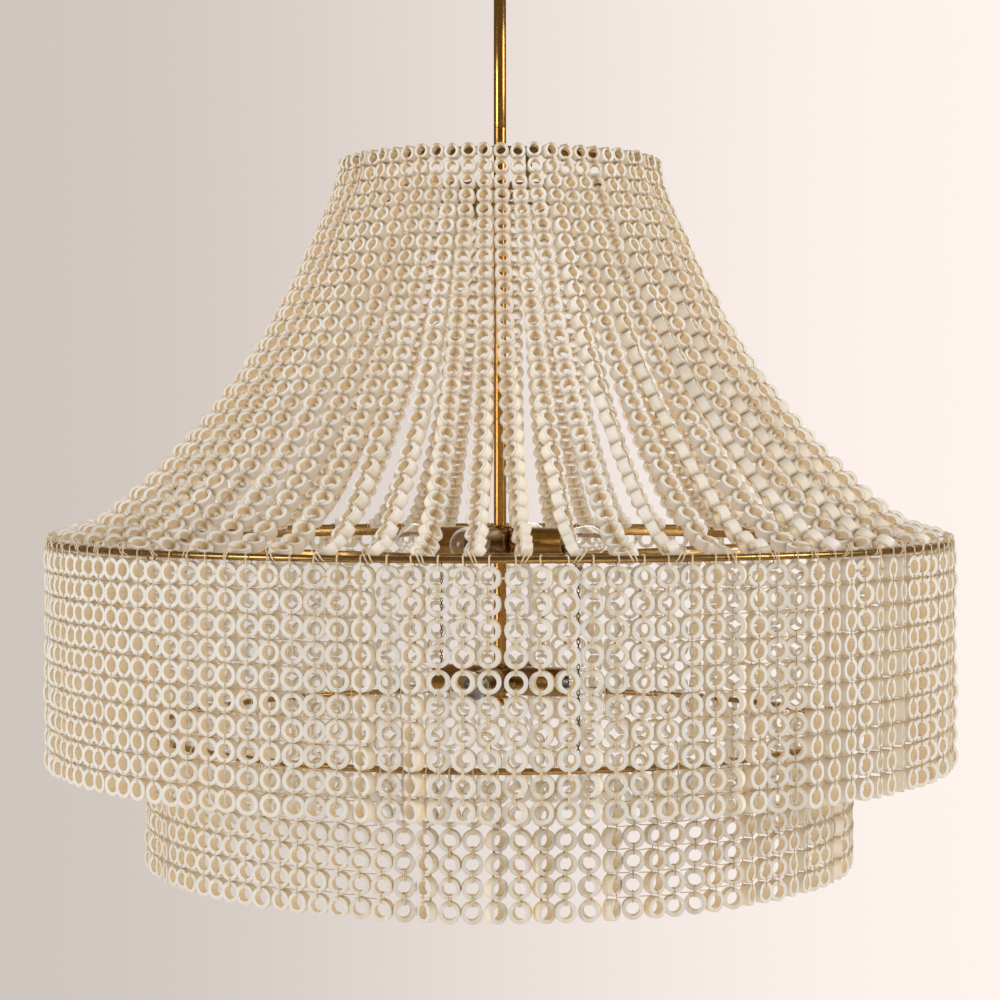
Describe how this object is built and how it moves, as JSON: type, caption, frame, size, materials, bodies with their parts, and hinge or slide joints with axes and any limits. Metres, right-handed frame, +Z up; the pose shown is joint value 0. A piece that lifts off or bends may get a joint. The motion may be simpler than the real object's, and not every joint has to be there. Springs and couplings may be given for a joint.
{
  "type": "beaded chandelier",
  "caption": "Round two-tier ceiling chandelier: a bell of bead swags over an outer bead curtain, with a lower bead curtain hung on chains and two lamp clusters on a brass stem.",
  "frame": {"origin": "middle of the ceiling bracket's top face, where the chandelier meets the ceiling", "axes": "+Z up along the stem; X and Y along the four spokes of the rings"},
  "size_m": [0.9206, 0.9206, 0.952],
  "materials": {
    "brass": "antique brass, satin",
    "dark_brass": "dark antique brass",
    "steel": "zinc plated",
    "glass": "clear",
    "bead": "whitewashed, matte"
  },
  "bodies": {
    "ceiling": {"ceiling_bracket": "steel", "canopy": "brass", "canopy_ring_nut": "brass"},
    "swivel": {"swivel_collar": "brass", "swivel_pin": "dark_brass"},
    "fixture": {"upper_stem": "brass", "stem_coupler": "dark_brass", "coupler_screw": "dark_brass", "lower_stem": "brass", "top_ring": "dark_brass", "main_ring": "brass", "tier_band": "brass", "upper_cluster_hub": "brass", "lower_cluster_hub": "brass", "finial": "brass", "upper_socket_1": "brass", "upper_socket_2": "brass", "upper_socket_3": "brass", "upper_socket_4": "brass", "lower_socket_1": "brass", "lower_socket_2": "brass", "lower_socket_3": "brass", "lower_socket_4": "brass", "swag_group_1": "bead", "swag_group_2": "bead", "swag_group_3": "bead", "swag_group_4": "bead"},
    "upper_bulb_1": {"upper_bulb_1": "glass"},
    "upper_bulb_2": {"upper_bulb_2": "glass"},
    "upper_bulb_3": {"upper_bulb_3": "glass"},
    "upper_bulb_4": {"upper_bulb_4": "glass"},
    "lower_bulb_1": {"lower_bulb_1": "glass"},
    "lower_bulb_2": {"lower_bulb_2": "glass"},
    "lower_bulb_3": {"lower_bulb_3": "glass"},
    "lower_bulb_4": {"lower_bulb_4": "glass"},
    "outer_curtain_1": {"outer_curtain_1": "bead"},
    "outer_curtain_2": {"outer_curtain_2": "bead"},
    "outer_curtain_3": {"outer_curtain_3": "bead"},
    "outer_curtain_4": {"outer_curtain_4": "bead"},
    "outer_curtain_5": {"outer_curtain_5": "bead"},
    "outer_curtain_6": {"outer_curtain_6": "bead"},
    "outer_curtain_7": {"outer_curtain_7": "bead"},
    "outer_curtain_8": {"outer_curtain_8": "bead"},
    "outer_curtain_9": {"outer_curtain_9": "bead"},
    "outer_curtain_10": {"outer_curtain_10": "bead"},
    "outer_curtain_11": {"outer_curtain_11": "bead"},
    "chain_1": {"chain_1": "dark_brass"},
    "lower_tier": {"lower_ring": "brass"},
    "chain_2": {"chain_2": "dark_brass"},
    "chain_3": {"chain_3": "dark_brass"},
    "chain_4": {"chain_4": "dark_brass"},
    "lower_curtain_1": {"lower_curtain_1": "bead"},
    "lower_curtain_2": {"lower_curtain_2": "bead"},
    "lower_curtain_3": {"lower_curtain_3": "bead"},
    "lower_curtain_4": {"lower_curtain_4": "bead"},
    "lower_curtain_5": {"lower_curtain_5": "bead"},
    "lower_curtain_6": {"lower_curtain_6": "bead"},
    "lower_curtain_7": {"lower_curtain_7": "bead"},
    "lower_curtain_8": {"lower_curtain_8": "bead"},
    "lower_curtain_9": {"lower_curtain_9": "bead"}
  },
  "joints": [
    {"name": "swivel_turn", "type": "hinge", "parent": "ceiling", "child": "swivel", "pos_m": [0, 0, -0.05], "axis": [0, 0, 1], "range_deg": [-170, 170]},
    {"name": "stem_tilt", "type": "hinge", "parent": "swivel", "child": "fixture", "pos_m": [0, 0, -0.062], "axis": [1, 0, 0], "range_deg": [-15, 15]},
    {"name": "upper_bulb_1_turn", "type": "hinge", "parent": "fixture", "child": "upper_bulb_1", "pos_m": [0.04286, -0.02575, -0.631], "axis": [0.8572, -0.515, 0], "range_deg": [0, 1080]},
    {"name": "upper_bulb_2_turn", "type": "hinge", "parent": "fixture", "child": "upper_bulb_2", "pos_m": [0.02575, 0.04286, -0.631], "axis": [0.515, 0.8572, 0], "range_deg": [0, 1080]},
    {"name": "upper_bulb_3_turn", "type": "hinge", "parent": "fixture", "child": "upper_bulb_3", "pos_m": [-0.04286, 0.02575, -0.631], "axis": [-0.8572, 0.515, 0], "range_deg": [0, 1080]},
    {"name": "upper_bulb_4_turn", "type": "hinge", "parent": "fixture", "child": "upper_bulb_4", "pos_m": [-0.02575, -0.04286, -0.631], "axis": [-0.515, -0.8572, 0], "range_deg": [0, 1080]},
    {"name": "lower_bulb_1_turn", "type": "hinge", "parent": "fixture", "child": "lower_bulb_1", "pos_m": [0.04286, -0.02575, -0.7725], "axis": [0.8572, -0.515, 0], "range_deg": [0, 1080]},
    {"name": "lower_bulb_2_turn", "type": "hinge", "parent": "fixture", "child": "lower_bulb_2", "pos_m": [0.02575, 0.04286, -0.7725], "axis": [0.515, 0.8572, 0], "range_deg": [0, 1080]},
    {"name": "lower_bulb_3_turn", "type": "hinge", "parent": "fixture", "child": "lower_bulb_3", "pos_m": [-0.04286, 0.02575, -0.7725], "axis": [-0.8572, 0.515, 0], "range_deg": [0, 1080]},
    {"name": "lower_bulb_4_turn", "type": "hinge", "parent": "fixture", "child": "lower_bulb_4", "pos_m": [-0.02575, -0.04286, -0.7725], "axis": [-0.515, -0.8572, 0], "range_deg": [0, 1080]},
    {"name": "outer_curtain_1_swing", "type": "hinge", "parent": "fixture", "child": "outer_curtain_1", "pos_m": [0.44391, 0, -0.629], "axis": [0, -1, 0], "range_deg": [0, 12]},
    {"name": "outer_curtain_2_swing", "type": "hinge", "parent": "fixture", "child": "outer_curtain_2", "pos_m": [0.37344, 0.23999, -0.629], "axis": [0.5406, -0.8413, 0], "range_deg": [0, 12]},
    {"name": "outer_curtain_3_swing", "type": "hinge", "parent": "fixture", "child": "outer_curtain_3", "pos_m": [0.18441, 0.40379, -0.629], "axis": [0.9096, -0.4154, 0], "range_deg": [0, 12]},
    {"name": "outer_curtain_4_swing", "type": "hinge", "parent": "fixture", "child": "outer_curtain_4", "pos_m": [-0.06317, 0.43939, -0.629], "axis": [0.9898, 0.1423, 0], "range_deg": [0, 12]},
    {"name": "outer_curtain_5_swing", "type": "hinge", "parent": "fixture", "child": "outer_curtain_5", "pos_m": [-0.2907, 0.33548, -0.629], "axis": [0.7557, 0.6549, 0], "range_deg": [0, 12]},
    {"name": "outer_curtain_6_swing", "type": "hinge", "parent": "fixture", "child": "outer_curtain_6", "pos_m": [-0.42593, 0.12506, -0.629], "axis": [0.2817, 0.9595, 0], "range_deg": [0, 12]},
    {"name": "outer_curtain_7_swing", "type": "hinge", "parent": "fixture", "child": "outer_curtain_7", "pos_m": [-0.42593, -0.12506, -0.629], "axis": [-0.2817, 0.9595, 0], "range_deg": [0, 12]},
    {"name": "outer_curtain_8_swing", "type": "hinge", "parent": "fixture", "child": "outer_curtain_8", "pos_m": [-0.2907, -0.33548, -0.629], "axis": [-0.7557, 0.6549, 0], "range_deg": [0, 12]},
    {"name": "outer_curtain_9_swing", "type": "hinge", "parent": "fixture", "child": "outer_curtain_9", "pos_m": [-0.06317, -0.43939, -0.629], "axis": [-0.9898, 0.1423, 0], "range_deg": [0, 12]},
    {"name": "outer_curtain_10_swing", "type": "hinge", "parent": "fixture", "child": "outer_curtain_10", "pos_m": [0.18441, -0.40379, -0.629], "axis": [-0.9096, -0.4154, 0], "range_deg": [0, 12]},
    {"name": "outer_curtain_11_swing", "type": "hinge", "parent": "fixture", "child": "outer_curtain_11", "pos_m": [0.37344, -0.23999, -0.629], "axis": [-0.5406, -0.8413, 0], "range_deg": [0, 12]},
    {"name": "tier_sway", "type": "hinge", "parent": "fixture", "child": "chain_1", "pos_m": [0, -0.352, -0.6405], "axis": [0, -1, 0], "range_deg": [-10, 10]},
    {"name": "tier_level", "type": "hinge", "parent": "chain_1", "child": "lower_tier", "pos_m": [0, -0.352, -0.8108], "axis": [0, -1, 0], "range_deg": [-10, 10]},
    {"name": "chain_2_swing", "type": "hinge", "parent": "fixture", "child": "chain_2", "pos_m": [0.352, 0, -0.6405], "axis": [0, -1, 0], "range_deg": [-10, 10]},
    {"name": "chain_3_swing", "type": "hinge", "parent": "fixture", "child": "chain_3", "pos_m": [0, 0.352, -0.6405], "axis": [0, -1, 0], "range_deg": [-10, 10]},
    {"name": "chain_4_swing", "type": "hinge", "parent": "fixture", "child": "chain_4", "pos_m": [-0.352, 0, -0.6405], "axis": [0, -1, 0], "range_deg": [-10, 10]},
    {"name": "lower_curtain_1_swing", "type": "hinge", "parent": "lower_tier", "child": "lower_curtain_1", "pos_m": [0.3449, 0, -0.818], "axis": [0, -1, 0], "range_deg": [0, 8]},
    {"name": "lower_curtain_2_swing", "type": "hinge", "parent": "lower_tier", "child": "lower_curtain_2", "pos_m": [0.26421, 0.22169, -0.818], "axis": [0.6428, -0.766, 0], "range_deg": [0, 8]},
    {"name": "lower_curtain_3_swing", "type": "hinge", "parent": "lower_tier", "child": "lower_curtain_3", "pos_m": [0.05989, 0.33965, -0.818], "axis": [0.9848, -0.1736, 0], "range_deg": [0, 8]},
    {"name": "lower_curtain_4_swing", "type": "hinge", "parent": "lower_tier", "child": "lower_curtain_4", "pos_m": [-0.17245, 0.29869, -0.818], "axis": [0.866, 0.5, 0], "range_deg": [0, 8]},
    {"name": "lower_curtain_5_swing", "type": "hinge", "parent": "lower_tier", "child": "lower_curtain_5", "pos_m": [-0.3241, 0.11796, -0.818], "axis": [0.342, 0.9397, 0], "range_deg": [0, 8]},
    {"name": "lower_curtain_6_swing", "type": "hinge", "parent": "lower_tier", "child": "lower_curtain_6", "pos_m": [-0.3241, -0.11796, -0.818], "axis": [-0.342, 0.9397, 0], "range_deg": [0, 8]},
    {"name": "lower_curtain_7_swing", "type": "hinge", "parent": "lower_tier", "child": "lower_curtain_7", "pos_m": [-0.17245, -0.29869, -0.818], "axis": [-0.866, 0.5, 0], "range_deg": [0, 8]},
    {"name": "lower_curtain_8_swing", "type": "hinge", "parent": "lower_tier", "child": "lower_curtain_8", "pos_m": [0.05989, -0.33965, -0.818], "axis": [-0.9848, -0.1736, 0], "range_deg": [0, 8]},
    {"name": "lower_curtain_9_swing", "type": "hinge", "parent": "lower_tier", "child": "lower_curtain_9", "pos_m": [0.26421, -0.22169, -0.818], "axis": [-0.6428, -0.766, 0], "range_deg": [0, 8]}
  ],
  "couplings": [
    {"joint": "tier_level", "follows": "tier_sway", "ratio": -1},
    {"joint": "chain_2_swing", "follows": "tier_sway", "ratio": 1},
    {"joint": "chain_3_swing", "follows": "tier_sway", "ratio": 1},
    {"joint": "chain_4_swing", "follows": "tier_sway", "ratio": 1}
  ]
}
